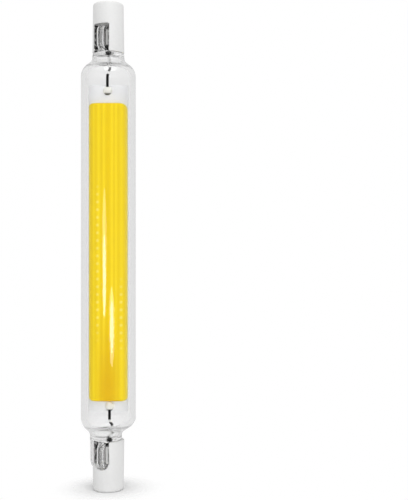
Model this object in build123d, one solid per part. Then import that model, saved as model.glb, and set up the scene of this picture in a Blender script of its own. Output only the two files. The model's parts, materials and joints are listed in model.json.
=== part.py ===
from build123d import *
import os
from math import cos, radians, sin

# A double-ended linear LED lamp in clear glass: millimetres, +Z along the lamp, standing on its lower cap.
# The board's lit face looks towards -Y. The origin is at the middle of the lower cap's end face.

# Overall length, from cap end to cap end
lamp_length = 118.0

# Glass tube and shoulders
tube_diameter = 13.3
tube_wall = 1.15
shoulder_angle = 52.0
shoulder_convex_radius = 3.4
shoulder_concave_radius = 1.6
shoulder_convex_bands = 4
shoulder_concave_bands = 3
cavity_dome_height = 4.75

# Glass necks, one at each end
neck_diameter = 7.7
neck_length = 0.9
lower_neck_shift = 0.7

# Lip of glass that runs down from the lower neck beside the cap
lip_length = 4.4
lip_half_angle = 52.0
lip_clearance = 0.06

# Flat pinches that seal the ends
pinch_thickness = 1.9
pinch_width = 8.9
pinch_root_inset = 0.25
pinch_root_depth = 0.4
pinch_flare_height = 2.4
pinch_flare_radius = 1.5
pinch_tip_radius = 2.0
pinch_edge_chamfer = 0.55

# Ceramic end caps
cap_length = 12.1
cap_rim_diameter = 7.7
cap_taper = 0.3
cap_end_chamfer = 0.5
rim_gap = 0.1
slot_width = 3.8
slot_depth = 6.75
slot_azimuth = 24.5

# Recessed contacts
contact_recess_diameter = 4.6
contact_recess_depth = 1.9
contact_recess_chamfer = 0.25
contact_ledge = 0.25
contact_head_thickness = 0.8
contact_dimple_diameter = 1.8
contact_dimple_depth = 0.2
contact_shank_diameter = 1.8
contact_clearance = 0.03

# Cement in the slots
cement_recess = 0.8
cement_rim_recess = 0.9
cement_tip_recess = 1.5
pinch_tip_gap = 0.25

# Lead wires, with the knots where their lengths are welded
wire_diameter = 0.65
wire_seal_clearance = 0.02
wire_exit_run = 0.85
knot_diameter = 1.0
knot_length = 1.7
knot_sides = 8
kink_height = 2.05
kink_depth = 0.35
upper_kink_offset = 0.55
lower_kink_offset = 1.2
pad_run = 2.5

# Ceramic board, set by its gaps to the cavity's wall and ends
board_thickness = 1.0
board_side_gap = 0.65
upper_board_gap = 6.95
lower_board_gap = 6.15

# Solder joints on the board
upper_pad_offset = -0.15
lower_pad_offset = 0.35
pad_margin = 0.15
solder_diameter = 2.2
solder_height = 0.9
solder_shoulder_height = 0.55
solder_foot_taper = 24.0
solder_crown_taper = 52.0
solder_sides = 12
solder_film = 0.03

# Phosphor strip and the dies in it
phosphor_side_margin = 0.2
upper_phosphor_gap = 1.95
lower_phosphor_gap = 0.15
phosphor_crown = 1.05
phosphor_edge_height = 0.6
phosphor_edge_radius = 0.4
phosphor_corner_radius = 1.1
phosphor_cut_radius = 1.8
die_width = 0.45
die_length = 0.75
die_height = 0.15
die_rows = 2
die_row_pitch = 5.6
die_row_offset = 0.35
die_pitch = 1.86
die_end_margin = 1.2

# Parts on the board's back
rectifier_size = (3.9, 1.4, 4.7)
rectifier_lead_pitch = 2.5
rectifier_leads_per_side = 2
rectifier_lead_width = 0.6
rectifier_place = 28.0
driver_size = (3.9, 1.5, 4.9)
driver_lead_pitch = 1.27
driver_leads_per_side = 4
driver_lead_width = 0.42
driver_places = (-6.0, 8.0)
package_chamfer = 0.25
standoff = 0.12
lead_thickness = 0.2
lead_foot = 0.6
lead_reach = 1.25
resistor_size = (1.6, 0.55, 3.2)
resistor_terminal_length = 0.45
resistor_places = ((-2.2, 17.0), (2.2, 17.0), (0.0, -15.0))

# Levels worked out from the sizes above
lamp_middle = lamp_length / 2
mid_plane = Plane.XY.offset(lamp_middle)
tube_radius = tube_diameter / 2
cavity_radius = tube_radius - tube_wall
neck_radius = neck_diameter / 2
cap_rim_level = lamp_length - cap_length
neck_end_level = cap_rim_level - rim_gap
neck_start_level = neck_end_level - neck_length
slot_end_level = cap_rim_level + slot_depth
pinch_tip_level = slot_end_level - pinch_tip_gap
contact_face_level = lamp_length - contact_recess_depth
contact_seat_level = contact_face_level - contact_head_thickness
cap_end_diameter = cap_rim_diameter - cap_taper
contact_head_diameter = contact_recess_diameter - 2 * contact_ledge
wire_radius = wire_diameter / 2
solder_radius = solder_diameter / 2

# Straight stretch between the shoulder's two arcs, from the drop in radius left to it
shoulder_arc_drop = (shoulder_convex_radius + shoulder_concave_radius) * (1 - cos(radians(shoulder_angle)))
shoulder_slope = (tube_radius - neck_radius - shoulder_arc_drop) / sin(radians(shoulder_angle))
shoulder_arc_rise = (shoulder_convex_radius + shoulder_concave_radius) * sin(radians(shoulder_angle))
shoulder_height = shoulder_arc_rise + shoulder_slope * cos(radians(shoulder_angle))
tube_end_level = neck_start_level - shoulder_height
tube_foot_level = lamp_length - tube_end_level
cavity_end_level = tube_end_level + cavity_dome_height

# Board, solder joints and phosphor in the room that the cavity leaves
board_front = -board_thickness / 2
board_back = board_thickness / 2
board_width = 2 * (cavity_radius - board_side_gap)
board_top = cavity_end_level - upper_board_gap
board_foot = lamp_length - cavity_end_level + lower_board_gap
board_length = board_top - board_foot
board_middle = (board_top + board_foot) / 2
wire_depth = board_front - solder_film - wire_radius
pad_inset = solder_radius + pad_margin
phosphor_width = board_width - 2 * phosphor_side_margin
phosphor_top = board_top - pad_inset - solder_radius - upper_phosphor_gap
phosphor_foot = board_foot + pad_inset + solder_radius + lower_phosphor_gap
phosphor_length = phosphor_top - phosphor_foot
phosphor_middle = (phosphor_top + phosphor_foot) / 2

turn_to_slot = Rot(0, 0, -slot_azimuth)
pick_tolerance = 0.01


def to_lower_end(shape):
    """The same shape at the other end of the lamp."""
    return mirror(shape, about=mid_plane)


def shoulder_curve():
    """Outline of the upper shoulder as radius and height: convex arc, straight slope, concave arc."""
    convex = JernArc((tube_radius, tube_end_level), (0, 1), shoulder_convex_radius, shoulder_angle)
    slope = PolarLine(convex @ 1, shoulder_slope, direction=convex % 1)
    concave = JernArc(slope @ 1, slope % 1, shoulder_concave_radius, -shoulder_angle)
    return convex, slope, concave


def glass_tube():
    """The straight stretch of the envelope, still solid."""
    return Pos(0, 0, tube_foot_level) * extrude(Circle(tube_radius), tube_end_level - tube_foot_level)


def glass_shoulder(neck_shift):
    """Upper shoulder and neck: lofted in bands through circles, as the neck may stand off the axis."""
    convex, slope, concave = shoulder_curve()
    stations = [convex @ (step / shoulder_convex_bands) for step in range(shoulder_convex_bands + 1)]
    stations += [concave @ (step / shoulder_concave_bands) for step in range(shoulder_concave_bands + 1)]
    sections = []
    for station in stations:
        shift = neck_shift * (tube_radius - station.X) / (tube_radius - neck_radius)
        sections.append(Pos(-shift, 0, station.Y) * Circle(station.X))
    neck = Pos(-neck_shift, 0, neck_start_level) * extrude(Circle(neck_radius), neck_length)
    return turn_to_slot * (loft(sections, ruled=True) + neck)


def glass_lip():
    """The side of the lower neck that misses the cap runs on beside it and ends in a round."""
    neck_end = lamp_length - neck_end_level
    round_level = neck_end - lip_length
    column = extrude(Circle(neck_radius), lip_length + neck_length / 2) + Sphere(neck_radius)
    column = Pos(-lower_neck_shift, 0, round_level) * column
    cap_space = extrude(Circle(cap_rim_diameter / 2 + lip_clearance), neck_end)
    reach = 2 * neck_diameter
    half_spread = reach * sin(radians(lip_half_angle))
    far_side = -reach * cos(radians(lip_half_angle))
    sector = make_face(Polyline((0, 0), (far_side, half_spread), (far_side, -half_spread), close=True))
    wedge = extrude(sector, reach)
    return turn_to_slot * ((column - cap_space) & wedge)


def pinch():
    """Upper pinch: a flat spade of glass that flares from the neck and ends round, with softened edges."""
    root_level = neck_end_level - pinch_root_depth
    root, half = neck_radius - pinch_root_inset, pinch_width / 2
    flare_level = root_level + pinch_flare_height
    outline = Polyline(
        (-root, root_level), (root, root_level), (half, flare_level), (half, pinch_tip_level),
        (-half, pinch_tip_level), (-half, flare_level), close=True,
    )
    spade = make_face(Plane.YZ * outline)
    tip_corners = spade.vertices().group_by(Axis.Z)[-1]
    spade = fillet(tip_corners, pinch_tip_radius)
    flare_span = (flare_level - pick_tolerance, flare_level + pick_tolerance)
    flare_corners = spade.vertices().filter_by_position(Axis.Z, *flare_span)
    spade = fillet(flare_corners, pinch_flare_radius)
    slab = extrude(spade, pinch_thickness / 2, both=True)
    face_edges = slab.faces().sort_by(Axis.X)[0].edges() + slab.faces().sort_by(Axis.X)[-1].edges()
    free_edges = [edge for edge in face_edges if edge.center().Z > root_level + pick_tolerance]
    return turn_to_slot * chamfer(free_edges, pinch_edge_chamfer)


def cavity():
    """The sealed space in the tube: a cylinder with a dome at each end."""
    ball_radius = (cavity_radius**2 + cavity_dome_height**2) / (2 * cavity_dome_height)
    bore = Pos(0, 0, tube_foot_level) * extrude(Circle(cavity_radius), tube_end_level - tube_foot_level)
    ball = Pos(0, 0, cavity_end_level - ball_radius) * Sphere(ball_radius)
    dome = ball & Pos(0, 0, tube_end_level) * extrude(Circle(tube_radius), cavity_dome_height)
    return bore + dome + to_lower_end(dome)


def end_cap():
    """Upper cap: a slightly tapered ceramic barrel with a contact recess and a slot for the pinch."""
    end_radius, rim_radius = cap_end_diameter / 2, cap_rim_diameter / 2
    recess_radius = contact_recess_diameter / 2
    pocket_radius = contact_head_diameter / 2 + contact_clearance
    hole_radius = contact_shank_diameter / 2 + contact_clearance
    outline = Polyline(
        (hole_radius, cap_rim_level), (rim_radius, cap_rim_level), (end_radius, lamp_length),
        (recess_radius, lamp_length), (recess_radius, contact_face_level),
        (pocket_radius, contact_face_level), (pocket_radius, contact_seat_level),
        (hole_radius, contact_seat_level), close=True,
    )
    section = make_face(outline)
    corners = section.vertices()
    end_corner = corners.sort_by_distance((end_radius, lamp_length))[0]
    mouth_corner = corners.sort_by_distance((recess_radius, lamp_length))[0]
    section = chamfer(end_corner, cap_end_chamfer)
    section = chamfer(section.vertices().sort_by_distance(mouth_corner.center())[0], contact_recess_chamfer)
    barrel = revolve(Plane.XZ * section, Axis.Z)
    slot = Pos(0, 0, cap_rim_level) * extrude(Rectangle(slot_width, 2 * cap_rim_diameter), slot_depth)
    return turn_to_slot * (barrel - slot)


def contact():
    """Upper contact: a dished head at the bottom of the recess, on a shank that meets the wire's end."""
    head_radius, shank_radius = contact_head_diameter / 2, contact_shank_diameter / 2
    section = make_face(Polyline(
        (0, contact_face_level - contact_dimple_depth), (0, slot_end_level),
        (shank_radius, slot_end_level), (shank_radius, contact_seat_level),
        (head_radius, contact_seat_level), (head_radius, contact_face_level),
        (contact_dimple_diameter / 2, contact_face_level), close=True,
    ))
    return revolve(Plane.XZ * section, Axis.Z)


def lead_route(pad_offset, kink_offset, board_end):
    """Points of a wire at the upper end: from the contact through the pinch and over a kink to its pad."""
    exit_level = cavity_end_level - wire_exit_run
    return [
        (0, 0, slot_end_level),
        (0, 0, exit_level),
        (kink_offset, -kink_depth, cavity_end_level - kink_height),
        (pad_offset, wire_depth, board_end + pad_run),
        (pad_offset, wire_depth, board_end - pad_inset - wire_radius),
    ]


def wire_run(route, radius):
    """A round rod along a route, with mitred bends."""
    path = Polyline(*route)
    start = Plane(origin=path @ 0, z_dir=path % 0)
    return sweep(start * Circle(radius), path, transition=Transition.RIGHT)


def lead_wire(route, clearance=0):
    """A wire with the knot, at the neck, where its two lengths are welded, or the room that they need."""
    outline = RegularPolygon(knot_diameter / 2 + clearance, knot_sides, major_radius=False)
    knot = extrude(outline, knot_length / 2 + clearance, both=True)
    return wire_run(route, wire_radius + clearance) + Pos(0, 0, neck_end_level) * knot


def solder_joint(pad_offset, level, wire_room):
    """A dome of solder on the board over the end of a wire, in flat facets."""
    pad = Plane(origin=(pad_offset, board_front, level), z_dir=(0, -1, 0))
    outline = RegularPolygon(solder_radius, solder_sides)
    foot = extrude(outline, solder_shoulder_height, taper=solder_foot_taper)
    shoulder = foot.faces().sort_by(Axis.Z)[-1]
    crown = extrude(shoulder, solder_height - solder_shoulder_height, taper=solder_crown_taper)
    return pad * (foot + crown) - wire_room


def cement(pinch_solid, wire_room):
    """Beads of cement between the upper pinch and the slot's walls, set back from the barrel's surface."""
    height = slot_depth - cement_rim_recess - cement_tip_recess
    barrel = extrude(Circle(cap_end_diameter / 2 - cement_recess), height)
    fill = barrel & extrude(Rectangle(slot_width, cap_rim_diameter), height)
    fill = turn_to_slot * Pos(0, 0, cap_rim_level + cement_rim_recess) * fill
    return fill - pinch_solid - wire_room


def dies_per_row():
    """How many dies the phosphor strip covers in a row."""
    return int((phosphor_length - 2 * die_end_margin - die_length) / die_pitch) + 1


def die_row_length():
    """Length of a row, from the foot of its first die to the top of its last."""
    return (dies_per_row() - 1) * die_pitch + die_length


def die_row_places():
    """Places of the rows of dies across the board."""
    return [die_row_offset + (row - (die_rows - 1) / 2) * die_row_pitch for row in range(die_rows)]


def led_dies():
    """Rows of dies on the board's front."""
    die = Box(die_width, die_height, die_length, align=(Align.CENTER, Align.MAX, Align.CENTER))
    first = phosphor_middle - (dies_per_row() - 1) * die_pitch / 2
    return [
        Pos(across, board_front, first + index * die_pitch) * die
        for across in die_row_places() for index in range(dies_per_row())
    ]


def phosphor_section():
    """Section of the phosphor strip over the board's front: a crowned top between rounded edges."""
    half, edge, crown = phosphor_width / 2, phosphor_edge_height, phosphor_crown
    top = ThreePointArc((half, edge), (0, crown), (-half, edge))
    section = make_face(top + Polyline(top @ 1, (-half, 0), (half, 0), top @ 0))
    shoulders = section.vertices().group_by(Axis.Y)[-1]
    return fillet(shoulders, phosphor_edge_radius)


def phosphor_outline():
    """Outline of the phosphor strip: a rectangle with round corners, one of them cut wider."""
    outline = Rectangle(phosphor_width, phosphor_length)
    cut_corner = (phosphor_width / 2, phosphor_length / 2)
    outline = fillet(outline.vertices().sort_by_distance(cut_corner)[1:], phosphor_corner_radius)
    return fillet(outline.vertices().sort_by_distance(cut_corner)[0], phosphor_cut_radius)


def phosphor_strip():
    """A strip of filled silicone with a crowned top, cast over the rows of dies."""
    end_plane = Plane(origin=(0, board_front, phosphor_foot), x_dir=(-1, 0, 0), z_dir=(0, 0, 1))
    bar = extrude(end_plane * phosphor_section(), phosphor_length)
    front = Plane(origin=(0, board_front, phosphor_middle), x_dir=(1, 0, 0), z_dir=(0, -1, 0))
    strip = bar & extrude(front * phosphor_outline(), phosphor_crown)
    channel = Box(die_width, die_height, die_row_length(), align=(Align.CENTER, Align.MAX, Align.CENTER))
    return strip - [Pos(across, board_front, phosphor_middle) * channel for across in die_row_places()]


def lead_section(body):
    """Bent strip from a package's side down to a foot on the board, as a profile across the board."""
    side, base = body[0] / 2, board_back
    middle = base + standoff + body[1] / 2
    foot_end = side + lead_reach
    knee = foot_end - lead_foot
    half = lead_thickness / 2
    return make_face(Polyline(
        (side, middle - half), (knee - half, middle - half), (knee - half, base),
        (foot_end, base), (foot_end, base + lead_thickness), (knee + half, base + lead_thickness),
        (knee + half, middle + half), (side, middle + half), close=True,
    ))


def package(body, along, leads_per_side, lead_pitch, lead_width):
    """A moulded package on the board's back, and its leads on both sides."""
    block = Box(*body, align=(Align.CENTER, Align.MIN, Align.CENTER))
    block = chamfer(block.faces().sort_by(Axis.Y)[-1].edges(), package_chamfer)
    block = Pos(0, board_back + standoff, along) * block
    leads = []
    for index in range(leads_per_side):
        level = along + (index - (leads_per_side - 1) / 2) * lead_pitch - lead_width / 2
        lead = Pos(0, 0, level) * extrude(lead_section(body), lead_width)
        leads += [lead, mirror(lead, about=Plane.YZ)]
    return block, leads


def chip_resistor(across, along):
    """A chip resistor on the board's back: its ceramic body and its two terminals."""
    width, height, length = resistor_size
    seat = (Align.CENTER, Align.MIN, Align.CENTER)
    middle_length = length - 2 * resistor_terminal_length
    body = Pos(across, board_back, along) * Box(width, height, middle_length, align=seat)
    terminal = Box(width, height, resistor_terminal_length, align=seat)
    reach = (length - resistor_terminal_length) / 2
    return body, [Pos(across, board_back, along + side * reach) * terminal for side in (-1, 1)]


def build():
    """Every piece of the lamp by name."""
    upper_route = lead_route(upper_pad_offset, upper_kink_offset, board_top)
    lower_route = lead_route(lower_pad_offset, lower_kink_offset, lamp_length - board_foot)
    upper_wire_room = lead_wire(upper_route, wire_seal_clearance)
    lower_wire_room = to_lower_end(lead_wire(lower_route, wire_seal_clearance))
    upper_pinch = pinch()
    glass = glass_tube() + glass_shoulder(0) + to_lower_end(glass_shoulder(lower_neck_shift))
    glass += [upper_pinch, to_lower_end(upper_pinch), glass_lip()]
    cap = end_cap()
    upper_contact = contact()
    upper_cement = cement(upper_pinch, upper_wire_room)
    rectifier_level = board_middle + rectifier_place
    rectifier_row = (rectifier_leads_per_side, rectifier_lead_pitch, rectifier_lead_width)
    rectifier, rectifier_leads = package(rectifier_size, rectifier_level, *rectifier_row)
    driver_row = (driver_leads_per_side, driver_lead_pitch, driver_lead_width)
    drivers, driver_leads = [], []
    for place in driver_places:
        block, leads = package(driver_size, board_middle + place, *driver_row)
        drivers.append(block)
        driver_leads += leads
    resistors, terminals = [], []
    for across, place in resistor_places:
        body, ends = chip_resistor(across, board_middle + place)
        resistors.append(body)
        terminals += ends
    return {
        "glass_envelope": glass - cavity() - upper_wire_room - lower_wire_room,
        "upper_end_cap": cap,
        "lower_end_cap": to_lower_end(cap),
        "upper_contact": upper_contact,
        "lower_contact": to_lower_end(upper_contact),
        "upper_cement": upper_cement,
        "lower_cement": to_lower_end(upper_cement),
        "upper_lead_wire": lead_wire(upper_route),
        "lower_lead_wire": to_lower_end(lead_wire(lower_route)),
        "upper_solder_joint": solder_joint(upper_pad_offset, board_top - pad_inset, upper_wire_room),
        "lower_solder_joint": solder_joint(lower_pad_offset, board_foot + pad_inset, lower_wire_room),
        "circuit_board": Pos(0, 0, board_middle) * Box(board_width, board_thickness, board_length),
        "phosphor_strip": phosphor_strip(),
        "led_dies": led_dies(),
        "rectifier_body": rectifier,
        "rectifier_leads": rectifier_leads,
        "driver_bodies": drivers,
        "driver_leads": driver_leads,
        "resistor_bodies": resistors,
        "resistor_terminals": terminals,
    }


os.makedirs("parts", exist_ok=True)
for name, piece in build().items():
    shape = Compound(children=piece) if isinstance(piece, list) else piece
    export_step(shape, f"parts/{name}.step")
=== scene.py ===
import itertools
import json
import math

import bmesh
import bpy
from mathutils import Matrix, Vector


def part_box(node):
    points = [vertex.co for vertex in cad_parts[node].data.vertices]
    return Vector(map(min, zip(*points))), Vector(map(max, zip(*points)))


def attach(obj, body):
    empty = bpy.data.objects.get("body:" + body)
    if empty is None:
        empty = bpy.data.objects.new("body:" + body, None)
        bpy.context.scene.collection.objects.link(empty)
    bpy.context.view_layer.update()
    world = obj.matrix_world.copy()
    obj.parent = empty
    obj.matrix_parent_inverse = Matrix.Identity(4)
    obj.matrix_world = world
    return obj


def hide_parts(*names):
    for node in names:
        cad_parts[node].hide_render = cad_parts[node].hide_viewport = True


# Looks of a double-ended linear LED lamp in clear glass. Sizes are in millimetres until a mesh is made.
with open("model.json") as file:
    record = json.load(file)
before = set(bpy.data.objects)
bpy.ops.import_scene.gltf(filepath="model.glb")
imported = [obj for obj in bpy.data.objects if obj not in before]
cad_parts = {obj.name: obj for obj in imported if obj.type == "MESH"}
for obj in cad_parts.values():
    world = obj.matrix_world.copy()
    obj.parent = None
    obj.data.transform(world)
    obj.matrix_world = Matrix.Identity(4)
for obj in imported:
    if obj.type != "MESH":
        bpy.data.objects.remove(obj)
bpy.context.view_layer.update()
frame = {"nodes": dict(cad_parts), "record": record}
nodes = frame["nodes"]
scene = bpy.context.scene
MM = 0.001


def node_box(name):
    """Lowest and highest corner of a CAD node in millimetres."""
    low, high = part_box(name)
    return low / MM, high / MM


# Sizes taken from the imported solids
upper_cap_low, upper_cap_high = node_box("upper_end_cap")
board_low, board_high = node_box("circuit_board")
strip_low, strip_high = node_box("phosphor_strip")
upper_wire_low, upper_wire_high = node_box("upper_lead_wire")
lower_wire_low, lower_wire_high = node_box("lower_lead_wire")
glass_high = node_box("glass_envelope")[1]
lamp_length = upper_cap_high.z - node_box("lower_end_cap")[0].z
lamp_middle = lamp_length / 2
tube_radius = glass_high.x
pinch_tip_level = glass_high.z
cap_rim_level = upper_cap_low.z
board_front = board_low.y

# Fineness of the meshes
ring_points = 128
wire_points = 24
arc_steps = 10
fine_steps = 2 * arc_steps
lip_steps = 3 * arc_steps
cap_rim_steps = 4
recess_steps = 6

# Glass envelope
tube_wall = 1.15
shoulder_angle = 52.0
shoulder_convex_radius = 3.4
shoulder_concave_radius = 1.6
cavity_dome_height = 4.75
cavity_neck_height = 0.2
neck_radius = 3.85
neck_length = 0.9
neck_edge_radius = 0.3
lower_neck_shift = 0.7
rim_gap = 0.1
slot_azimuth = 24.5
pinch_half_width = 4.45
pinch_root_half_width = 3.45
pinch_half_thickness = 0.94
pinch_root_thickening = 0.35
pinch_flare_height = 2.0
pinch_root_fillet = 0.8
pinch_tip_radius = 2.0
pinch_edge_radius = 0.8
pinch_smallest_corner = 0.05
lip_length = 4.4
lip_half_angle = 52.0
lip_clearance = 0.06
lip_proud = 0.01
lip_core_radius = 0.02
cap_space_core_radius = 0.01
cutter_foot = -1.0

# Upper shoulder and neck, and the turn of the slots, worked out from the sizes above
shoulder_turn = math.radians(shoulder_angle)
shoulder_radii = shoulder_convex_radius + shoulder_concave_radius
shoulder_drop = tube_radius - neck_radius - shoulder_radii * (1 - math.cos(shoulder_turn))
shoulder_slope_height = shoulder_drop / math.tan(shoulder_turn)
neck_end = cap_rim_level - rim_gap
neck_start = neck_end - neck_length
tube_end = neck_start - shoulder_radii * math.sin(shoulder_turn) - shoulder_slope_height
turn_to_slot = Matrix.Rotation(math.radians(-slot_azimuth), 4, "Z")

# Ceramic caps
cap_rim_radius = 3.85
cap_end_radius = 3.7
cap_end_rounding = 0.65
cap_rim_rounding = 0.15
cap_rim_arc_start = -80.0
cap_bevel = 0.12
slot_width = 3.8
slot_depth = 6.75
slot_cutter_overrun = 1.0
upper_slot_rounding = 0.1
lower_slot_rounding = 1.6
recess_radius = 2.3
recess_depth = 1.9
recess_rounding = 0.25
pocket_radius = 2.08
pocket_depth = 0.8
shank_hole_radius = 0.93

# Lead wires
wire_radius = 0.325
wire_bend_radius = 0.8
wire_exit_run = 0.85
wire_lift = 0.355
knot_radius = 0.5
knot_length = 1.7
knot_end_radius = 0.3
kink_height = 2.05
kink_depth = 0.35
upper_kink_offset = 0.55
lower_kink_offset = 1.2
pad_run = 2.5
upper_pad_offset = -0.15
lower_pad_offset = 0.35

# Solder joints, with the place of the painted shade at the dome's foot as a share of the dome's radius
solder_foot = 0.08
foot_shade_start = 0.5
foot_shade_fade = 0.3

# Phosphor strip, with its lighter bands as places and widths across it
strip_columns = 96
strip_rows = 420
strip_edge_height = 0.6
strip_edge_radius = 0.4
strip_end_radius = 0.5
strip_corner_radius = 1.1
strip_cut_radius = 1.8
strip_half_width = (strip_high.x - strip_low.x) / 2
light_bands = ((-3.4, 0.3), (-2.2, 0.45), (-0.95, 0.3), (1.0, 0.35), (1.95, 0.3), (3.3, 0.6))
deep_stretch = (42.0, 26.0)
deep_half_width = 2.8
lemon_edge = 1.0

# Ridges along the strip, which turn by so many radians a millimetre across it and along it
ridge_height = 0.006
broad_ridge_turn = 2.4
broad_ridge_start = 0.4
broad_ridge_drift = 0.02
fine_ridge_turn = 4.1
fine_ridge_drift = 0.012
strip_crown = strip_high.y - strip_low.y - 2 * ridge_height

# LED dies, whose bumps on the strip carry pale spots of painted glint in the stretches given
die_pitch = 1.86
die_half_length = 0.375
die_row_places = (-2.45, 3.15)
die_row_stretches = ((35.0, 76.0), (32.0, 53.0))
die_stretch_fade = 6.0
die_bump_radius = 0.45
die_bump_height = 0.02
first_die = node_box("led_dies")[0].z + die_half_length

# Softened edges, with angles in degrees: edges that turn by more are rounded, or stay sharp as creases
edge_bevels = {
    "circuit_board": 0.08, "upper_contact": 0.12, "lower_contact": 0.12,
    "rectifier_body": 0.08, "driver_bodies": 0.08, "rectifier_leads": 0.04, "driver_leads": 0.04,
    "resistor_bodies": 0.05, "resistor_terminals": 0.06,
}
weld_distance = 0.002
bevel_segments = 3
copy_edge_angle = 40.0
copy_crease = 14.0
cap_edge_angle = 50.0
cap_crease = 50.0
strip_crease = 60.0
plain_crease = 40.0

# Looks of the glass, with stretches as distances from the lamp's middle
glass_ior = 1.47
glass_tint = (0.95, 0.95, 0.95)
glass_edge_tint = (0.76, 0.76, 0.76)
glass_facing_blend = 0.5
glass_facing_limits = (0.2, 0.9)
worked_tint = (0.97, 0.97, 0.97)
shoulder_stretch = (41.3, 43.5)
neck_stretch = (42.5, 45.0)
pinch_stretch = (46.8, 47.6)
neck_roughness = 0.25
pinch_roughness = 0.05

# Looks of the phosphor, with the tones of its marks in the order they are laid on
phosphor_tones = ((0.88, 0.60, 0.001), (0.92, 0.645, 0.002))
mark_tones = {
    "bands": (0.99, 0.75, 0.014),
    "deep": (0.80, 0.48, 0.0005),
    # Painted glints: pale spots over the dies' bumps
    "die_glints": (1.0, 0.83, 0.14),
    "edges": (0.86, 0.74, 0.09),
}
phosphor_grain = 0.9
phosphor_detail = 2.0
phosphor_grain_shares = (1.0, 0.0, 0.012)
phosphor_roughness = 0.3
phosphor_specular = 0.12

# Looks of the wires, with bare stretches as distances from the lamp's middle
oxide_tones = ((0.003, 0.003, 0.003), (0.008, 0.008, 0.008))
bare_tones = ((0.66, 0.66, 0.66), (0.80, 0.80, 0.79))
bare_stretches = ((41.7, 42.7), (44.0, 45.7), (47.9, 60.0))
bare_fade = 0.15
wire_grain = 3.0
wire_roughness = 0.6
wire_specular = 0.0

# Looks of the caps, with the start and end of the painted shade along the slot's walls measured outwards
# from the slot's wall
cap_tones = ((0.78, 0.78, 0.775), (0.82, 0.82, 0.815))
cap_grain = 4.0
cap_roughness = 0.5
cap_relief = 0.01
slot_shade_colour = (0.02, 0.02, 0.02)
slot_shade_start = (-0.1, -0.05)
slot_shade_end = (0.2, 0.12)
slot_shade_reach = (3.6, 3.5)
slot_shade_grain = 1.6
slot_shade_limits = (0.3, 0.5)
upper_slot_shade_stretch = (53.6, 53.4)
lower_slot_shade_stretch = (52.5, 51.9)

# Looks of the cement, with the stretches of its painted shade at the foot as distances from the lamp's
# middle
# The same cement is darker in the upper slot, whose end faces down, and paler in the lower: painted
# shade and light
upper_cement_shaded_tones = ((0.42, 0.42, 0.41), (0.56, 0.558, 0.55))
lower_cement_lit_tones = ((0.72, 0.72, 0.71), (0.82, 0.82, 0.81))
upper_cement_foot_shade_stretch = (48.7, 48.3)
lower_cement_foot_shade_stretch = (48.2, 47.9)
cement_shade_width = 0.3
cement_shade_colour = (0.01, 0.01, 0.01)
cement_grain = 5.0
cement_roughness = 0.9
cement_relief = 0.05

# Looks of the solder
# Creamy tones: the solder's own grey with the phosphor's yellow reflection partly painted in
solder_and_reflection_tones = ((0.79, 0.78, 0.725), (0.86, 0.855, 0.81))
foot_shade_colour = (0.07, 0.07, 0.06)
solder_grain = 1.5
solder_roughness = 0.25
solder_relief = 0.02

# Noise: its detail, and the limits between which it goes from one tone to the other
noise_detail = 3.0
grain_limits = (0.35, 0.65)

# Camera, surroundings and floor
camera_place = Vector((23.26, -220.0, 58.2))
camera_lens = 65.1
camera_sensor = 36.0
camera_clip = 10.0
glass_bounces = 32
white = (1.0, 1.0, 1.0, 1.0)
ambient = 0.74
light_through_glass = 1.36
front_room = 0.14
mirrored_surroundings = 0.82
room_fade = (-0.2, 0.35)
height_fade = (0.5, 0.65)
# The floor's grey and its fade paint a round soft shadow around the lamp's foot
floor_radius = 150.0
floor_segments = 96
floor_offset = 1.5
painted_shadow_fade = (14.5, 4.4)
painted_shadow_colour = (0.75, 0.75, 0.75, 1.0)
floor_roughness = 0.9
floor_specular = 0.1

# Lights: place, point looked at, width, height and radiance
streak_lights = {
    "left_streak": ((-27.0, -150.0, 46.5), (-0.6, -6.6, 51.0), 30.0, 36.0, 10.0),
    "left_glow": ((-27.0, -150.0, 56.5), (-0.6, -6.6, 57.0), 48.0, 57.0, 3.5),
    "right_streak": ((54.0, -150.0, 23.0), (1.3, -6.6, 37.0), 36.0, 24.0, 13.0),
    "right_glow": ((54.0, -150.0, 23.0), (1.3, -6.6, 37.0), 60.0, 36.0, 4.5),
}
key_light = ((160.0, -560.0, 620.0), (0.0, 0.0, lamp_middle), 700.0, 700.0, 2.45)


# Outlines and meshes

def arc(centre, radius, start, end, steps=arc_steps):
    """Points on an arc in a section, as radius and level, between two angles in degrees."""
    points = []
    for step in range(steps + 1):
        angle = math.radians(start + (end - start) * step / steps)
        points.append((centre[0] + radius * math.cos(angle), centre[1] + radius * math.sin(angle)))
    return points


def round_drop(radius, distance):
    """How far a rounded edge draws a surface in, at a distance from the surface's end."""
    return radius - math.sqrt(max(0.0, radius**2 - max(0.0, radius - distance) ** 2))


def circle_ring(radius, level, shift=0.0):
    """A ring of points round the lamp's axis, or round an axis shifted towards -X."""
    turn = 2 * math.pi / ring_points
    return [
        Vector((radius * math.cos(turn * i) - shift, radius * math.sin(turn * i), level))
        for i in range(ring_points)
    ]


def rounded_ring(half_thickness, half_width, corner, level):
    """A ring of points on a rounded rectangle, thin along X, spaced evenly along its outline."""
    flat_y, flat_x = half_width - corner, half_thickness - corner
    curve = corner * math.pi / 2
    quarter = flat_y + curve + flat_x
    quarter_points = ring_points // 4
    corner_points = []
    for i in range(quarter_points):
        along = quarter * i / quarter_points
        if along < flat_y:
            point = (half_thickness, along)
        elif along < flat_y + curve:
            angle = (along - flat_y) / corner
            point = (flat_x + corner * math.cos(angle), flat_y + corner * math.sin(angle))
        else:
            point = (flat_x - (along - flat_y - curve), half_width)
        corner_points.append(point)
    ring = [Vector((x, y, level)) for x, y in corner_points]
    ring += [Vector((-x, y, level)) for x, y in [(0, half_width)] + corner_points[:0:-1]]
    return ring + [Vector((-point.x, -point.y, level)) for point in ring]


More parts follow.
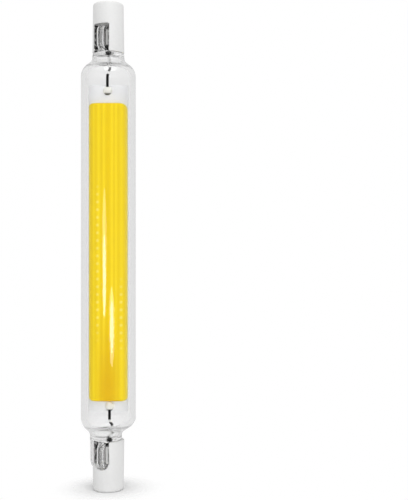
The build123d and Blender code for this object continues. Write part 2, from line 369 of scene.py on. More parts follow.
def join_rows(mesh, lower, upper):
    """Faces between two closed rows with as many vertices each."""
    count = len(lower)
    for i in range(count):
        following = (i + 1) % count
        mesh.faces.new((lower[i], lower[following], upper[following], upper[i]))


def ring_mesh(rings):
    """A closed mesh through rings with as many points each, from the first ring to the last."""
    mesh = bmesh.new()
    rows = [[mesh.verts.new(point) for point in ring] for ring in rings]
    for lower, upper in zip(rows, rows[1:]):
        join_rows(mesh, lower, upper)
    mesh.faces.new(list(reversed(rows[0])))
    mesh.faces.new(rows[-1])
    return mesh


def lathe(section):
    """A closed solid of revolution from a closed section of radius and level points."""
    mesh = bmesh.new()
    rows = [[mesh.verts.new(point) for point in circle_ring(radius, level)] for radius, level in section]
    for lower, upper in zip(rows, rows[1:] + rows[:1]):
        join_rows(mesh, lower, upper)
    return mesh


def smooth_faces(data, crease):
    """Smooth faces, with sharp edges where they turn by more than an angle in degrees."""
    data.shade_smooth()
    data.set_sharp_from_angle(angle=math.radians(crease))


def as_object(name, mesh, move=Matrix.Identity(4), crease=plain_crease):
    """Puts a bmesh in the scene as an object, from millimetres to metres, with smooth faces."""
    bmesh.ops.recalc_face_normals(mesh, faces=mesh.faces)
    if mesh.calc_volume(signed=True) < 0:
        bmesh.ops.reverse_faces(mesh, faces=mesh.faces)
    mesh.transform(Matrix.Scale(MM, 4) @ move)
    data = bpy.data.meshes.new(name)
    mesh.to_mesh(data)
    mesh.free()
    piece = bpy.data.objects.new(name, data)
    scene.collection.objects.link(piece)
    smooth_faces(data, crease)
    return piece


def bake(piece):
    """Applies the piece's modifiers to its mesh, in triangles."""
    graph = bpy.context.evaluated_depsgraph_get()
    data = bpy.data.meshes.new_from_object(piece.evaluated_get(graph))
    mesh = bmesh.new()
    mesh.from_mesh(data)
    bmesh.ops.triangulate(mesh, faces=mesh.faces, quad_method="BEAUTY", ngon_method="BEAUTY")
    mesh.to_mesh(data)
    mesh.free()
    piece.modifiers.clear()
    piece.data = data


def combine(piece, other, operation):
    """Joins a piece with another, cuts it or keeps what both share. The other one is used up."""
    modifier = piece.modifiers.new("combine", "BOOLEAN")
    modifier.operation = operation
    modifier.solver = "EXACT"
    modifier.object = other
    bake(piece)
    bpy.data.objects.remove(other)


def soften(piece, width, edge_angle, crease):
    """Rounds the edges that turn by more than an angle in degrees, and smooths the faces."""
    bevel = piece.modifiers.new("soft_edges", "BEVEL")
    bevel.width = width * MM
    bevel.segments = bevel_segments
    bevel.limit_method = "ANGLE"
    bevel.angle_limit = math.radians(edge_angle)
    bake(piece)
    smooth_faces(piece.data, crease)


def soft_copy(name, width):
    """A copy of a CAD node with joined faces and rounded edges, to stand in the node's place."""
    source = nodes[name].data
    mesh = bmesh.new()
    corners = [mesh.verts.new(vert.co / MM) for vert in source.vertices]
    for face in source.polygons:
        mesh.faces.new([corners[i] for i in face.vertices])
    bmesh.ops.remove_doubles(mesh, verts=mesh.verts, dist=weld_distance)
    piece = as_object(name + "_soft", mesh)
    soften(piece, width, copy_edge_angle, copy_crease)
    return piece


def to_other_end(data):
    """Turns a mesh over to the other end of the lamp."""
    data.transform(Matrix.Translation((0, 0, lamp_length * MM)) @ Matrix.Diagonal((1, 1, -1, 1)))
    data.flip_normals()


def dress(piece, material, slot, *replaced):
    """Gives a new piece its material and its place on the part, and hides what it stands for."""
    piece.data.materials.clear()
    piece.data.materials.append(material)
    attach(piece, "root")
    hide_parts(*replaced)


# Shader nodes

def new_material(name):
    """A material with a Principled shader, as the material, its node tree and the shader."""
    material = bpy.data.materials.new(name)
    material.use_nodes = True
    return material, material.node_tree, material.node_tree.nodes["Principled BSDF"]


def set_inputs(node, **values):
    """Sets values on a node's inputs, named with underscores for spaces."""
    for name, value in values.items():
        node.inputs[name.replace("_", " ")].default_value = value


def add_node(tree, kind, **values):
    """A node of a kind with values on its inputs."""
    node = tree.nodes.new(kind)
    set_inputs(node, **values)
    return node


def feed(tree, socket, value):
    """Puts a colour, a number or the output of another node on a socket."""
    if isinstance(value, tuple):
        socket.default_value = (*value, 1.0)
    elif isinstance(value, float):
        socket.default_value = value
    else:
        tree.links.new(value, socket)


def calculate(tree, operation, *terms):
    """The result of a calculation with terms that are each a number or a socket."""
    node = tree.nodes.new("ShaderNodeMath")
    node.operation = operation
    for socket, term in zip(node.inputs, terms):
        feed(tree, socket, term)
    return node.outputs[0]


def either(tree, first, second):
    """The larger of two sockets."""
    return calculate(tree, "MAXIMUM", first, second)


def both(tree, first, second):
    """The product of two sockets."""
    return calculate(tree, "MULTIPLY", first, second)


def blend(tree, data_type, socket_type, factor, first, second):
    """The first value where the factor is 0 and the second where it is 1."""
    mix = tree.nodes.new("ShaderNodeMix")
    mix.data_type = data_type
    tree.links.new(factor, mix.inputs["Factor"])
    for name, value in (("A", first), ("B", second)):
        sockets = [socket for socket in mix.inputs if socket.name == name]
        feed(tree, next(socket for socket in sockets if socket.type == socket_type), value)
    return next(socket for socket in mix.outputs if socket.type == socket_type)


def choose(tree, factor, first, second):
    """Goes from the first level to the second with a factor, each a number or a socket."""
    return blend(tree, "FLOAT", "VALUE", factor, first, second)


def blend_colours(tree, factor, first, second):
    """Goes from the first colour to the second with a factor, each a colour or a socket."""
    return blend(tree, "RGBA", "RGBA", factor, first, second)


def ramp(tree, factor, low, high):
    """Stretches a factor so that low becomes 0 and high becomes 1."""
    stretch = add_node(tree, "ShaderNodeMapRange", From_Min=low, From_Max=high)
    tree.links.new(factor, stretch.inputs["Value"])
    return stretch.outputs["Result"]


def fade(tree, distance, low, high):
    """Goes from 0 at one distance to 1 at another, both in millimetres."""
    return ramp(tree, distance, low * MM, high * MM)


def own_place(tree):
    """A point's place in the object's own frame, in metres."""
    return tree.nodes.new("ShaderNodeTexCoord").outputs["Object"]


def split(tree, vector):
    """The parts X, Y and Z of a vector."""
    parts = tree.nodes.new("ShaderNodeSeparateXYZ")
    tree.links.new(vector, parts.inputs["Vector"])
    return parts.outputs


def from_middle(tree):
    """Distance along the lamp from its middle, in metres."""
    level = split(tree, own_place(tree))["Z"]
    return calculate(tree, "ABSOLUTE", calculate(tree, "SUBTRACT", level, lamp_middle * MM))


def across_slot(tree, axis):
    """Distance from the slots' middle plane for X, or along it from the axis for Y, in metres."""
    mapping = tree.nodes.new("ShaderNodeMapping")
    mapping.inputs["Rotation"].default_value = (0, 0, math.radians(slot_azimuth))
    tree.links.new(own_place(tree), mapping.inputs["Vector"])
    return calculate(tree, "ABSOLUTE", split(tree, mapping.outputs["Vector"])[axis])


def place_noise(tree, grain, detail=noise_detail, shares=(1.0, 1.0, 1.0)):
    """Noise fixed to the object, with its grains a millimetre and a share of them for each axis."""
    mapping = tree.nodes.new("ShaderNodeMapping")
    mapping.inputs["Scale"].default_value = [grain * share / MM for share in shares]
    tree.links.new(own_place(tree), mapping.inputs["Vector"])
    noise = add_node(tree, "ShaderNodeTexNoise", Scale=1.0, Detail=detail)
    tree.links.new(mapping.outputs["Vector"], noise.inputs["Vector"])
    return noise.outputs["Fac"]


def grains(tree, noise, tones):
    """A colour of two near tones, in the grains of a noise."""
    return blend_colours(tree, ramp(tree, noise, *grain_limits), *tones)


def mark(tree, name):
    """A mark on the mesh, from 0 to 1."""
    attribute = tree.nodes.new("ShaderNodeAttribute")
    attribute.attribute_name = name
    return attribute.outputs["Fac"]


def add_bump(tree, shader, height, distance):
    """Raises the surface by a height of up to a distance in millimetres."""
    bump = add_node(tree, "ShaderNodeBump", Strength=1.0, Distance=distance * MM)
    tree.links.new(height, bump.inputs["Height"])
    tree.links.new(bump.outputs["Normal"], shader.inputs["Normal"])


# Materials

def mottled(name, tones, grain, roughness, relief=0.0, metallic=0.0):
    """A surface of two near tones in fine grains, with or without a little relief."""
    material, tree, shader = new_material(name)
    noise = place_noise(tree, grain)
    tree.links.new(grains(tree, noise, tones), shader.inputs["Base Color"])
    set_inputs(shader, Roughness=roughness, Metallic=metallic)
    if relief:
        add_bump(tree, shader, noise, relief)
    return material


def glass_material():
    """Clear glass with a faint grey tint, and a softer surface where the flame worked it."""
    material, tree, shader = new_material("clear_glass")
    facing = add_node(tree, "ShaderNodeLayerWeight", Blend=glass_facing_blend).outputs["Facing"]
    tint = blend_colours(tree, ramp(tree, facing, *glass_facing_limits), glass_tint, glass_edge_tint)
    distance = from_middle(tree)
    past_tube = fade(tree, distance, *shoulder_stretch)
    tree.links.new(blend_colours(tree, past_tube, tint, worked_tint), shader.inputs["Base Color"])
    softness = choose(tree, fade(tree, distance, *neck_stretch), 0.0, neck_roughness)
    softness = choose(tree, fade(tree, distance, *pinch_stretch), softness, pinch_roughness)
    tree.links.new(softness, shader.inputs["Roughness"])
    set_inputs(shader, IOR=glass_ior, Transmission_Weight=1.0)
    return material


def phosphor_material():
    """Yellow filled silicone: streaks, lighter bands, a deeper stretch, painted glints as pale spots
    over the dies, and lemon edges.
    """
    material, tree, shader = new_material("phosphor_silicone")
    noise = place_noise(tree, phosphor_grain, phosphor_detail, phosphor_grain_shares)
    colour = grains(tree, noise, phosphor_tones)
    for name, tone in mark_tones.items():
        colour = blend_colours(tree, mark(tree, name), colour, tone)
    tree.links.new(colour, shader.inputs["Base Color"])
    set_inputs(shader, Roughness=phosphor_roughness, Specular_IOR_Level=phosphor_specular)
    return material


def wire_material():
    """Wire with black oxide at the board's ends, the kinks and the knots, and bare metal between."""
    material, tree, shader = new_material("lead_wire")
    distance = from_middle(tree)
    bare = None
    for low, high in bare_stretches:
        past_low = fade(tree, distance, low, low + bare_fade)
        before_high = fade(tree, distance, high, high - bare_fade)
        inside = both(tree, past_low, before_high)
        bare = either(tree, bare, inside) if bare else inside
    noise = place_noise(tree, wire_grain)
    dark = grains(tree, noise, oxide_tones)
    metal = grains(tree, noise, bare_tones)
    tree.links.new(blend_colours(tree, bare, dark, metal), shader.inputs["Base Color"])
    set_inputs(shader, Roughness=wire_roughness, Specular_IOR_Level=wire_specular)
    return material


def ceramic_material(name, wall_shade_stretch):
    """White ceramic, with a dark ragged line of painted shade along the walls of the slot, where the
    gaps beside the pinch lie in shadow.
    """
    material, tree, shader = new_material(name)
    noise = place_noise(tree, cap_grain)
    from_plane = across_slot(tree, "X")
    wall = slot_width / 2
    past_start = fade(tree, from_plane, *[wall + margin for margin in slot_shade_start])
    before_end = fade(tree, from_plane, *[wall + margin for margin in slot_shade_end])
    inside = fade(tree, across_slot(tree, "Y"), *slot_shade_reach)
    by_slot = fade(tree, from_middle(tree), *wall_shade_stretch)
    # Painted shade: the ceramic is darkened in a ragged line along the slot's walls
    line = both(tree, both(tree, both(tree, past_start, before_end), inside), by_slot)
    ragged = both(tree, line, ramp(tree, place_noise(tree, slot_shade_grain), *slot_shade_limits))
    colour = blend_colours(tree, ragged, grains(tree, noise, cap_tones), slot_shade_colour)
    tree.links.new(colour, shader.inputs["Base Color"])
    set_inputs(shader, Roughness=cap_roughness)
    add_bump(tree, shader, noise, cap_relief)
    return material


def cement_material(name, tones, foot_shade_stretch):
    """Cement of two near greys, with painted shade along the slot's walls and at its foot."""
    material, tree, shader = new_material(name)
    wall = slot_width / 2
    # Painted shade: dark bands in the gaps next to the slot's walls and at the cement's foot
    gap_shade = fade(tree, across_slot(tree, "X"), wall - cement_shade_width, wall - cement_shade_width / 2)
    foot = fade(tree, from_middle(tree), *foot_shade_stretch)
    noise = place_noise(tree, cement_grain)
    pale = grains(tree, noise, tones)
    colour = blend_colours(tree, either(tree, gap_shade, foot), pale, cement_shade_colour)
    tree.links.new(colour, shader.inputs["Base Color"])
    set_inputs(shader, Roughness=cement_roughness)
    add_bump(tree, shader, noise, cement_relief)
    return material


def solder_material():
    """Creamy solder, its tone partly a painted reflection of the yellow phosphor, with painted shade on
    the lower side of the dome's foot.
    """
    material, tree, shader = new_material("solder")
    noise = place_noise(tree, solder_grain)
    metal = grains(tree, noise, solder_and_reflection_tones)
    colour = blend_colours(tree, mark(tree, "foot_shade"), metal, foot_shade_colour)
    tree.links.new(colour, shader.inputs["Base Color"])
    set_inputs(shader, Roughness=solder_roughness)
    add_bump(tree, shader, noise, solder_relief)
    return material


# Glass envelope

def shoulder_arcs(inset):
    """Upper shoulder at a depth under its surface, as radius and level points from tube to neck."""
    hub = (tube_radius - shoulder_convex_radius, tube_end)
    bend = (neck_radius + shoulder_concave_radius, neck_start)
    convex = arc(hub, shoulder_convex_radius - inset, 0, shoulder_angle)
    return convex + arc(bend, shoulder_concave_radius + inset, 180 + shoulder_angle, 180)


def outer_section():
    """Upper shoulder and neck, to the neck's end face."""
    edge = (neck_radius - neck_edge_radius, neck_end - neck_edge_radius)
    return shoulder_arcs(0.0) + arc(edge, neck_edge_radius, 0, 90)


def cavity_section():
    """Inside of the upper shoulder and neck, with a low dome under the pinch."""
    section = shoulder_arcs(tube_wall)
    for step in range(1, fine_steps):
        angle = math.pi / 2 * step / fine_steps
        rise = cavity_neck_height * math.sin(angle)
        section.append(((neck_radius - tube_wall) * math.cos(angle), neck_start + rise))
    return section


def shoulder_rings(section, neck_shift):
    """Rings of a section of the shoulder, drawn aside as far as they are from the tube."""
    rings = []
    outline = [radius for radius, level in shoulder_arcs(0.0)]
    pairs = itertools.zip_longest(section, outline, fillvalue=neck_radius)
    for (radius, level), outside in pairs:
        shift = neck_shift * (tube_radius - outside) / (tube_radius - neck_radius)
        rings.append(circle_ring(radius, level, shift))
    return rings


def pinch_ring(level):
    """The upper pinch's outline at a level: flared over its root and drawn in towards its tip."""
    above_root = level - neck_end
    below_tip = pinch_tip_level - level
    flare = min(1.0, above_root / pinch_flare_height)
    flare = flare * flare * (3 - 2 * flare)
    half_width = pinch_root_half_width + (pinch_half_width - pinch_root_half_width) * flare
    half_width -= round_drop(pinch_tip_radius, below_tip)
    root = max(0.0, 1 - above_root / pinch_root_fillet)
    half_thickness = pinch_half_thickness + pinch_root_thickening * root**2
    inset = round_drop(pinch_edge_radius, below_tip)
    corner = max(pinch_edge_radius - inset, pinch_smallest_corner)
    return rounded_ring(half_thickness - inset, half_width - inset, corner, level)


def pinch_rings():
    """Rings of the upper pinch: a flat spade with a flared root and a round tip."""
    levels = [neck_end + pinch_flare_height * step / arc_steps for step in range(arc_steps + 1)]
    for step in range(1, fine_steps + 1):
        rise = math.sin(math.pi / 2 * step / fine_steps)
        levels.append(pinch_tip_level - pinch_tip_radius + pinch_tip_radius * rise)
    return [pinch_ring(level) for level in levels]


def to_lower_end(rings):
    """The same rings at the other end of the lamp."""
    return [[Vector((point.x, point.y, lamp_length - point.z)) for point in ring] for ring in rings]


def glass_lip():
    """The side of the lower neck that misses the cap runs on beside it and ends in a round."""
    start = lamp_length - neck_end
    top = start + neck_length / 2
    lip_radius = neck_radius + lip_proud
    tip = arc((0, start - lip_length), lip_radius, -90, 0, lip_steps)
    column = [(max(radius, lip_core_radius), level) for radius, level in tip]
    column += [(lip_radius, top), (lip_core_radius, top)]
    lip = as_object("glass_lip", lathe(column), Matrix.Translation((-lower_neck_shift, 0, 0)))
    space_radius = cap_rim_radius + lip_clearance
    space = [(cap_space_core_radius, cutter_foot), (space_radius, cutter_foot)]
    space += [(space_radius, start), (cap_space_core_radius, start)]
    combine(lip, as_object("cap_space", lathe(space)), "DIFFERENCE")
    reach = 4 * neck_radius
    spread = math.radians(lip_half_angle)
    corners = [(0.0, 0.0)]
    corners += [(-reach * math.cos(spread), side * reach * math.sin(spread)) for side in (1, -1)]
    levels = (cutter_foot, start + neck_length)
    wedge = ring_mesh([[Vector((x, y, level)) for x, y in corners] for level in levels])
    combine(lip, as_object("lip_wedge", wedge), "INTERSECT")
    return lip


def glass_envelope():
    """Tube, shoulders, necks and pinches as one outer surface, with the sealed cavity inside."""
    upper = shoulder_rings(outer_section(), 0.0) + pinch_rings()
    lower = to_lower_end(shoulder_rings(outer_section(), lower_neck_shift) + pinch_rings())
    piece = as_object("glass_envelope_fine", ring_mesh(list(reversed(lower)) + upper))
    combine(piece, glass_lip(), "UNION")
    upper = shoulder_rings(cavity_section(), 0.0)
    lower = to_lower_end(shoulder_rings(cavity_section(), lower_neck_shift))
    combine(piece, as_object("cavity", ring_mesh(list(reversed(lower)) + upper)), "DIFFERENCE")
    piece.data.transform(turn_to_slot)
    smooth_faces(piece.data, plain_crease)
    return piece


# Ceramic caps

def cap_section():
    """A tapered barrel with round edges, a recess for the contact's head and a hole for its shank."""
    rim_edge = (cap_rim_radius - cap_rim_rounding, cap_rim_level + cap_rim_rounding)
    end_edge = (cap_end_radius - cap_end_rounding, lamp_length - cap_end_rounding)
    recess_edge = (recess_radius + recess_rounding, lamp_length - recess_rounding)
    floor = lamp_length - recess_depth
    pocket_floor = floor - pocket_depth
    section = [(shank_hole_radius, cap_rim_level), (cap_rim_radius - cap_rim_rounding, cap_rim_level)]
    section += arc(rim_edge, cap_rim_rounding, cap_rim_arc_start, 0, cap_rim_steps)
    section += arc(end_edge, cap_end_rounding, 0, 90)
    section += arc(recess_edge, recess_rounding, 90, 180, recess_steps)
    section += [(recess_radius, floor), (pocket_radius, floor), (pocket_radius, pocket_floor)]
    return section + [(shank_hole_radius, pocket_floor)]


def slot_cutter(rounding):
    """The slot's space, open at the cap's rim and with rounded corners at its end."""
    half, slot_end = slot_width / 2, cap_rim_level + slot_depth
    opening = cap_rim_level - slot_cutter_overrun
    reach = 2 * cap_rim_radius
    outline = [(-half, opening), (half, opening)]
    outline += arc((half - rounding, slot_end - rounding), rounding, 0, 90)
    outline += arc((rounding - half, slot_end - rounding), rounding, 90, 180)
    return ring_mesh([[Vector((x, y, z)) for x, z in outline] for y in (-reach, reach)])


def end_cap(name, slot_rounding):
    """A cap at the upper end of the lamp, with its slot for the pinch."""
    piece = as_object(name, lathe(cap_section()))
    combine(piece, as_object("slot", slot_cutter(slot_rounding)), "DIFFERENCE")
    soften(piece, cap_bevel, cap_edge_angle, cap_crease)
    piece.data.transform(turn_to_slot)
    return piece


# Lead wires

def rounded_route(points):
    """Points along a route whose corners are rounded, close together in the bends."""
    route = [points[0]]
    for before, corner, after in zip(points, points[1:], points[2:]):
        to_before, to_after = before - corner, after - corner
        reach = min(wire_bend_radius, to_before.length / 2, to_after.length / 2)
        start = corner + to_before.normalized() * reach
        end = corner + to_after.normalized() * reach
        for step in range(arc_steps + 1):
            share = step / arc_steps
            route.append((1 - share) ** 2 * start + 2 * share * (1 - share) * corner + share**2 * end)
    return route + [points[-1]]


def wire_rings(route):
    """Rings of the wire's section along a route."""
    rings = []
    for place, before, after in zip(route, route[:1] + route[:-1], route[1:] + route[-1:]):
        along = (after - before).normalized()
        side = Vector((0, 1, 0)).cross(along).normalized()
        front = along.cross(side)
        ring = []
        for i in range(wire_points):
            angle = 2 * math.pi * i / wire_points
            ring.append(place + (side * math.cos(angle) + front * math.sin(angle)) * wire_radius)
        rings.append(ring)
    return rings


def knot_section():
    """A weld knot round the wire: a spindle that is thickest at its middle."""
    core_radius = wire_radius / 2
    section = [(core_radius, -knot_length / 2)]
    for step in range(fine_steps + 1):
        level = knot_length * (step / fine_steps - 0.5)
        swell = math.cos(math.pi * level / knot_length) ** 2
        section.append((knot_end_radius + (knot_radius - knot_end_radius) * swell, level))
    return section + [(core_radius, knot_length / 2)]


def lead_wire(name, board_end, kink_offset, pad_offset, low, high):
    """A wire at the upper end: down the axis, a kink under the dome, flat along the pad, and a knot."""
    cavity_end = tube_end + cavity_dome_height
    wire_depth = board_front - wire_lift
    points = [
        Vector((0, 0, high)),
        Vector((0, 0, cavity_end - wire_exit_run)),
        Vector((kink_offset, -kink_depth, cavity_end - kink_height)),
        Vector((pad_offset, wire_depth, board_end + pad_run)),
        Vector((pad_offset, wire_depth, low)),
    ]
    piece = as_object(name, ring_mesh(wire_rings(rounded_route(points))))
    knot = as_object("knot", lathe(knot_section()), Matrix.Translation((0, 0, neck_end)))
    combine(piece, knot, "UNION")
    return piece


# Solder joints

def solder_dome(name, low, high):
    """A smooth dome of solder over the end of a wire, in the box of its CAD solid."""
    radius, height = (high.x - low.x) / 2, high.y - low.y
    rings = [circle_ring(radius, 0.0)]
    for step in range(fine_steps):
        angle = math.pi / 2 * step / fine_steps
        level = solder_foot + (height - solder_foot) * math.sin(angle)
        rings.append(circle_ring(radius * math.cos(angle), level))
    middle = (low.z + high.z) / 2
    seat = Matrix.Translation(((low.x + high.x) / 2, board_front, middle))
    piece = as_object(name, ring_mesh(rings), seat @ Matrix.Rotation(math.radians(90), 4, "X"))
    # Painted shade: the lower side of the dome's foot is marked dark, where the dome turns away from the
    # light
    foot_shade = piece.data.attributes.new("foot_shade", "FLOAT", "POINT")
    for vert, value in zip(piece.data.vertices, foot_shade.data):
        below = (middle - vert.co.z / MM) / radius
        value.value = min(1.0, max(0.0, (below - foot_shade_start) / foot_shade_fade))
    return piece


# Phosphor strip

def strip_height(x, z):
    """Height of the strip's surface over the board: a crown with low ridges along it."""
    height = strip_crown - (strip_crown - strip_edge_height) * (x / strip_half_width) ** 2
    broad = math.cos(broad_ridge_turn * x + broad_ridge_start) * math.cos(broad_ridge_drift * z)
    fine = math.sin(fine_ridge_turn * x + fine_ridge_drift * z)
    return height + ridge_height * broad + ridge_height * fine


def die_bump_and_glint(x, z):
    """How far a die's bump rises at a point of the strip, from 0 to 1, which also sets the strength of
    its painted glint.
    """
    along = (z - first_die + die_pitch / 2) % die_pitch - die_pitch / 2
    strongest = 0.0
    for row, (low, high) in zip(die_row_places, die_row_stretches):
        near = max(0.0, 1 - (along**2 + (x - row) ** 2) / die_bump_radius**2)
        inside = min(z - low, high - z) / die_stretch_fade
        strongest = max(strongest, near * min(1.0, max(0.0, inside)))
    return strongest


def band(x):
    """How far a point of the strip lies in one of the lighter bands along it, from 0 to 1."""
    return max(math.exp(-(((x - place) / width) ** 2)) for place, width in light_bands)


def depth_of_tone(x, z):
    """How much deeper the yellow is at a point, towards the strip's lower end and off its sides."""
    low, high = deep_stretch
    along = min(1.0, max(0.0, (low - z) / (low - high)))
    return along * max(0.0, 1 - (x / deep_half_width) ** 2)


def close_strip(mesh, grid):
    """The faces of the strip's surface, the walls under its rim and the face on the board."""
    for lower, upper in zip(grid, grid[1:]):
        for i in range(strip_columns):
            mesh.faces.new((lower[i], lower[i + 1], upper[i + 1], upper[i]))
    rim = [line[0] for line in grid] + grid[-1][1:] + [line[-1] for line in reversed(grid[:-1])]
    rim += list(reversed(grid[0][1:-1]))
    foot = [mesh.verts.new((vert.co.x, board_front, vert.co.z)) for vert in rim]
    join_rows(mesh, rim, foot)
    mesh.faces.new(foot)


def strip_row(mesh, z, marks):
    """One row of the strip's surface at a level, with the marks of its points."""
    from_top = strip_high.z - z
    from_end = min(z - strip_low.z, from_top)
    inset = round_drop(strip_corner_radius, from_end)
    left = inset - strip_half_width
    right = strip_half_width - max(inset, round_drop(strip_cut_radius, from_top))
    row = []
    for column in range(strip_columns + 1):
        share = (1 - math.cos(math.pi * column / strip_columns)) / 2
        x = left + (right - left) * share
        from_side = min(x - left, right - x)
        bump = die_bump_and_glint(x, z)
        height = strip_height(x, z) + die_bump_height * bump
        height -= round_drop(strip_edge_radius, from_side) + round_drop(strip_end_radius, from_end)
        row.append(mesh.verts.new((x, board_front - height, z)))
        # The bump also sets the painted glint over the die
        marks["die_glints"].append(bump)
        marks["edges"].append(max(0.0, 1 - from_side / lemon_edge) ** 2)
        marks["bands"].append(band(x))
        marks["deep"].append(depth_of_tone(x, z))
    return row


def phosphor_strip():
    """The strip as a fine closed mesh with rounded edges, and with the marks of its tones."""
    mesh = bmesh.new()
    marks = {name: [] for name in mark_tones}
    length = strip_high.z - strip_low.z
    levels = [strip_low.z + length * row / strip_rows for row in range(strip_rows + 1)]
    close_strip(mesh, [strip_row(mesh, level, marks) for level in levels])
    piece = as_object("phosphor_strip_fine", mesh, crease=strip_crease)
    for name, values in marks.items():
        attribute = piece.data.attributes.new(name, "FLOAT", "POINT")
        unmarked = [0.0] * (len(piece.data.vertices) - len(values))
        attribute.data.foreach_set("value", values + unmarked)
    return piece


# Camera, light and floor

def make_camera():
    """A level camera in front of the lamp, with the lamp left of the middle of the picture."""
    data = bpy.data.cameras.new("camera")
    data.sensor_fit = "VERTICAL"
    data.sensor_height = camera_sensor
    data.lens = camera_lens
    data.clip_start = camera_clip * MM
    camera = bpy.data.objects.new("camera", data)
    camera.location = camera_place * MM
    camera.rotation_euler = (math.radians(90), 0, 0)
    scene.collection.objects.link(camera)
    scene.camera = camera


def make_world():
    """White to the eye and through glass, darker in reflections from the front, softer as light."""
    world = bpy.data.worlds.new("studio")
    world.use_nodes = True
    scene.world = world
    tree = world.node_tree
    path = tree.nodes.new("ShaderNodeLightPath").outputs
    direction = split(tree, tree.nodes.new("ShaderNodeTexCoord").outputs["Generated"])
    behind = ramp(tree, direction["Y"], *room_fade)
    off_level = ramp(tree, calculate(tree, "ABSOLUTE", direction["Z"]), *height_fade)
    bright = either(tree, behind, off_level)
    mirrored_room = choose(tree, bright, front_room, mirrored_surroundings)
    reflected = ramp(tree, path["Glossy Depth"], 0.0, 1.0)
    scattered = ramp(tree, path["Diffuse Depth"], 0.0, 1.0)
    shown = choose(tree, reflected, 1.0, mirrored_room)
    shown = choose(tree, scattered, shown, light_through_glass)
    seen = either(tree, path["Is Camera Ray"], path["Is Glossy Ray"])
    seen = either(tree, seen, path["Is Transmission Ray"])
    background = tree.nodes["Background"]
    set_inputs(background, Color=white)
    tree.links.new(choose(tree, seen, ambient, shown), background.inputs["Strength"])


def area_light(name, place, target, width, height, radiance):
    """A soft oval lamp that looks at a point, with its size in millimetres and its radiance."""
    data = bpy.data.lights.new(name, "AREA")
    data.shape = "ELLIPSE"
    data.size = width * MM
    data.size_y = height * MM
    area = math.pi / 4 * data.size * data.size_y
    data.energy = radiance * math.pi * area
    lamp = bpy.data.objects.new(name, data)
    lamp.location = Vector(place) * MM
    lamp.rotation_euler = (Vector(target) - Vector(place)).to_track_quat("-Z", "Y").to_euler()
    lamp.visible_camera = False
    scene.collection.objects.link(lamp)
    return lamp


def make_floor():
    """A grey disc that keeps the shadow, darkened near the lamp's foot as a painted round shadow, and
    fades into the white around it.
    """
    mesh = bmesh.new()
    bmesh.ops.create_circle(mesh, cap_ends=True, segments=floor_segments, radius=floor_radius)
    floor = as_object("floor", mesh)
    material, tree, shader = new_material("floor")
    set_inputs(
        shader, Base_Color=painted_shadow_colour, Roughness=floor_roughness, Specular_IOR_Level=floor_specular
    )
    length = tree.nodes.new("ShaderNodeVectorMath")
    length.operation = "LENGTH"
    tree.links.new(own_place(tree), length.inputs[0])
    # Painted shadow: the grey shows fully near the foot and fades out by the outer radius
    shadow_alpha = fade(tree, length.outputs["Value"], *painted_shadow_fade)
    tree.links.new(both(tree, shadow_alpha, shadow_alpha), shader.inputs["Alpha"])
    floor.data.materials.append(material)
    floor.location.y = floor_offset * MM


make_camera()
make_world()
make_floor()
for name, settings in streak_lights.items():
    lamp = area_light(name, *settings)
    lamp.visible_diffuse = False
    lamp.visible_transmission = False
area_light("key", *key_light)

# Pieces that stand in the place of CAD nodes
dress(glass_envelope(), glass_material(), "clear_glass", "glass_envelope")
upper_cap = end_cap("upper_cap_soft", upper_slot_rounding)
lower_cap = end_cap("lower_cap_soft", lower_slot_rounding)
to_other_end(lower_cap.data)
upper_ceramic = ceramic_material("upper_cap_ceramic", upper_slot_shade_stretch)
lower_ceramic = ceramic_material("lower_cap_ceramic", lower_slot_shade_stretch)
dress(upper_cap, upper_ceramic, "cap_ceramic", "upper_end_cap")
dress(lower_cap, lower_ceramic, "cap_ceramic", "lower_end_cap")
dress(phosphor_strip(), phosphor_material(), "phosphor_silicone", "phosphor_strip")
upper_wire = lead_wire(
    "upper_wire_smooth", board_high.z, upper_kink_offset, upper_pad_offset,
    upper_wire_low.z, upper_wire_high.z,
)
lower_wire = lead_wire(
    "lower_wire_smooth", lamp_length - board_low.z, lower_kink_offset, lower_pad_offset,
    lamp_length - lower_wire_high.z, lamp_length - lower_wire_low.z,
)
to_other_end(lower_wire.data)
oxide_wire = wire_material()
dress(upper_wire, oxide_wire, "lead_wire", "upper_lead_wire")
dress(lower_wire, oxide_wire, "lead_wire", "lower_lead_wire")
upper_dome = solder_dome("upper_solder_dome", *node_box("upper_solder_joint"))
lower_dome = solder_dome("lower_solder_dome", *node_box("lower_solder_joint"))
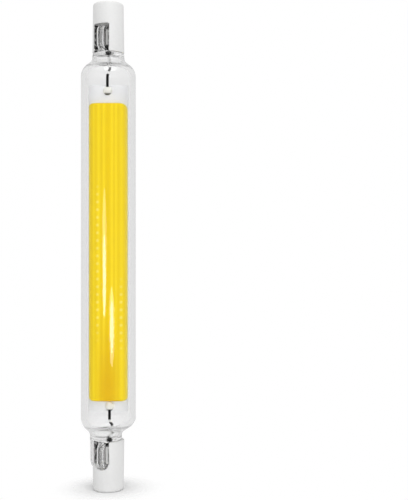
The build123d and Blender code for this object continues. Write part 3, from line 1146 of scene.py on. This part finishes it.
solder = solder_material()
dress(upper_dome, solder, "solder", "upper_solder_joint")
dress(lower_dome, solder, "solder", "lower_solder_joint")

# Finishes of the other nodes, which keep their own mesh or get a copy with softened edges
board_ceramic = mottled(
    "board_ceramic", ((0.79, 0.80, 0.82), (0.85, 0.86, 0.88)), grain=2.5, roughness=0.4, relief=0.004
)
die_crystal = mottled("die_crystal", ((0.30, 0.42, 0.60), (0.42, 0.55, 0.70)), grain=3.0, roughness=0.2)
contact_metal = mottled(
    "contact_metal", ((0.55, 0.53, 0.50), (0.66, 0.64, 0.60)),
    grain=3.5, roughness=0.3, relief=0.004, metallic=1.0,
)
moulding = mottled(
    "moulding", ((0.014, 0.014, 0.015), (0.028, 0.028, 0.03)), grain=8.0, roughness=0.55, relief=0.01
)
tinned = mottled(
    "tinned_leads", ((0.60, 0.60, 0.60), (0.72, 0.72, 0.72)),
    grain=3.0, roughness=0.3, relief=0.004, metallic=1.0,
)
resistor = mottled(
    "resistor_ceramic", ((0.02, 0.02, 0.022), (0.04, 0.04, 0.045)), grain=4.0, roughness=0.35
)
finishes = {
    "upper_contact": contact_metal, "lower_contact": contact_metal,
    "upper_cement": cement_material("upper_cement", upper_cement_shaded_tones, upper_cement_foot_shade_stretch),
    "lower_cement": cement_material("lower_cement", lower_cement_lit_tones, lower_cement_foot_shade_stretch),
    "circuit_board": board_ceramic, "led_dies": die_crystal,
    "rectifier_body": moulding, "rectifier_leads": tinned,
    "driver_bodies": moulding, "driver_leads": tinned,
    "resistor_bodies": resistor, "resistor_terminals": tinned,
}
slots = {entry["node"]: entry["material_slot"] for entry in frame["record"]["subparts"]}
for name, material in finishes.items():
    if name in edge_bevels:
        dress(soft_copy(name, edge_bevels[name]), material, slots[name], name)
    else:
        nodes[name].data.materials.clear()
        nodes[name].data.materials.append(material)

scene.view_settings.view_transform = "Standard"
scene.cycles.max_bounces = glass_bounces
scene.cycles.glossy_bounces = glass_bounces
scene.cycles.transmission_bounces = glass_bounces
